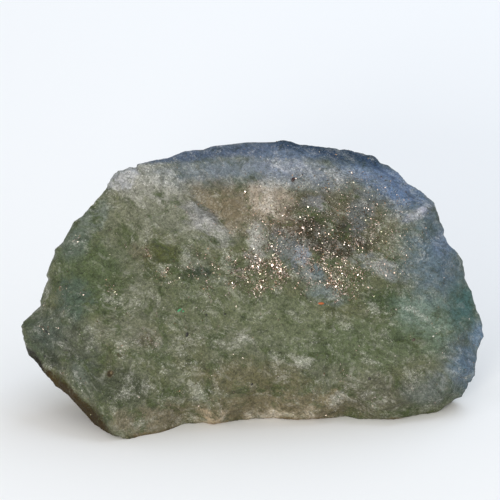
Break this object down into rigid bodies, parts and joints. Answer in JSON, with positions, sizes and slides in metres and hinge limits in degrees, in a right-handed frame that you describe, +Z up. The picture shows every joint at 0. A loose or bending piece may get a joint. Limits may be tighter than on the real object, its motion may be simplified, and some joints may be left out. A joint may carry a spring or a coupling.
{
  "type": "rough aventurine stone",
  "caption": "Rough broken piece of green aventurine quartz with a broad sparkling face, which rests on its flat lower break as a display specimen.",
  "frame": {"origin": "on the flat lower break, under the heart of the stone", "axes": "+Z up from the ground, +X to the right along the stone's length, -Y towards the viewer of the broad face"},
  "size_m": [0.0804, 0.0387, 0.0441],
  "materials": {
    "aventurine": "rough sugary break, slightly translucent, with fine mica sparkle"
  },
  "bodies": {
    "root": {"stone": "aventurine"}
  },
  "joints": []
}
